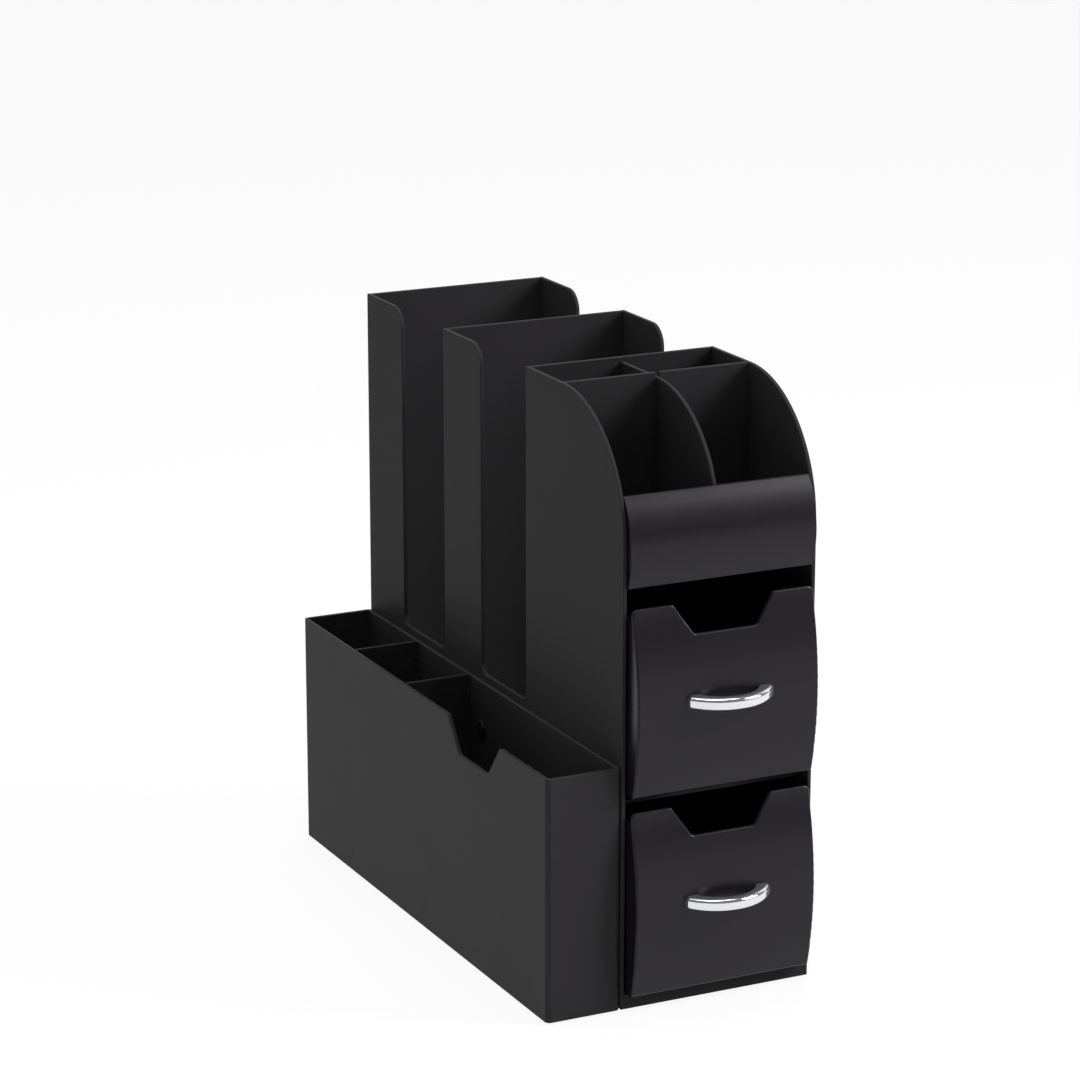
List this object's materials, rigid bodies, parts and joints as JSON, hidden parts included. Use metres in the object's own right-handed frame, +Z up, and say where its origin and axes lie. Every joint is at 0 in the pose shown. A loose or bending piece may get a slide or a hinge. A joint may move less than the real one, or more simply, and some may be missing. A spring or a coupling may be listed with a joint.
{
  "type": "condiment caddy",
  "caption": "Upright condiment caddy: open cup wells behind a divided top tray, notched pull-out drawers with bow handles, and a low bin along one side.",
  "frame": {"origin": "centre of the overall bounding box at the height of the surface the feet rest on", "axes": "+Z up, -Y towards the front where the drawers open, +X to the user's right when facing the drawers"},
  "size_m": [0.138, 0.3096, 0.287],
  "materials": {
    "housing_plastic": "charcoal black, satin, fine moulded grain",
    "drawer_plastic": "charcoal black, satin, slightly smoother than the housing",
    "runner_plastic": "dark grey low-friction plastic",
    "rivet_plastic": "black moulded plastic",
    "handle": "bright chrome plating",
    "screw_steel": "zinc-plated steel",
    "rubber": "black rubber"
  },
  "bodies": {
    "caddy": {"left_side_panel": "housing_plastic", "right_side_panel": "housing_plastic", "back_wall": "housing_plastic", "cup_well_divider": "housing_plastic", "drawer_bay_back_wall": "housing_plastic", "base_floor": "housing_plastic", "drawer_shelf": "housing_plastic", "tray_floor": "housing_plastic", "tray_front": "housing_plastic", "tray_cross_wall": "housing_plastic", "tray_centre_divider": "housing_plastic", "lower_left_runner": "runner_plastic", "lower_right_runner": "runner_plastic", "upper_left_runner": "runner_plastic", "upper_right_runner": "runner_plastic", "side_bin": "housing_plastic", "bin_front_divider": "housing_plastic", "bin_rear_divider": "housing_plastic", "bin_rivets": "rivet_plastic", "base_screws": "screw_steel", "rubber_feet": "rubber"},
    "upper_drawer": {"upper_drawer": "drawer_plastic", "upper_handle": "handle", "upper_handle_screws": "screw_steel"},
    "lower_drawer": {"lower_drawer": "drawer_plastic", "lower_handle": "handle", "lower_handle_screws": "screw_steel"}
  },
  "joints": [
    {"name": "upper_drawer_slide", "type": "slide", "parent": "caddy", "child": "upper_drawer", "axis": [0, -1, 0], "range_m": [0, 0.065]},
    {"name": "lower_drawer_slide", "type": "slide", "parent": "caddy", "child": "lower_drawer", "axis": [0, -1, 0], "range_m": [0, 0.065]}
  ]
}
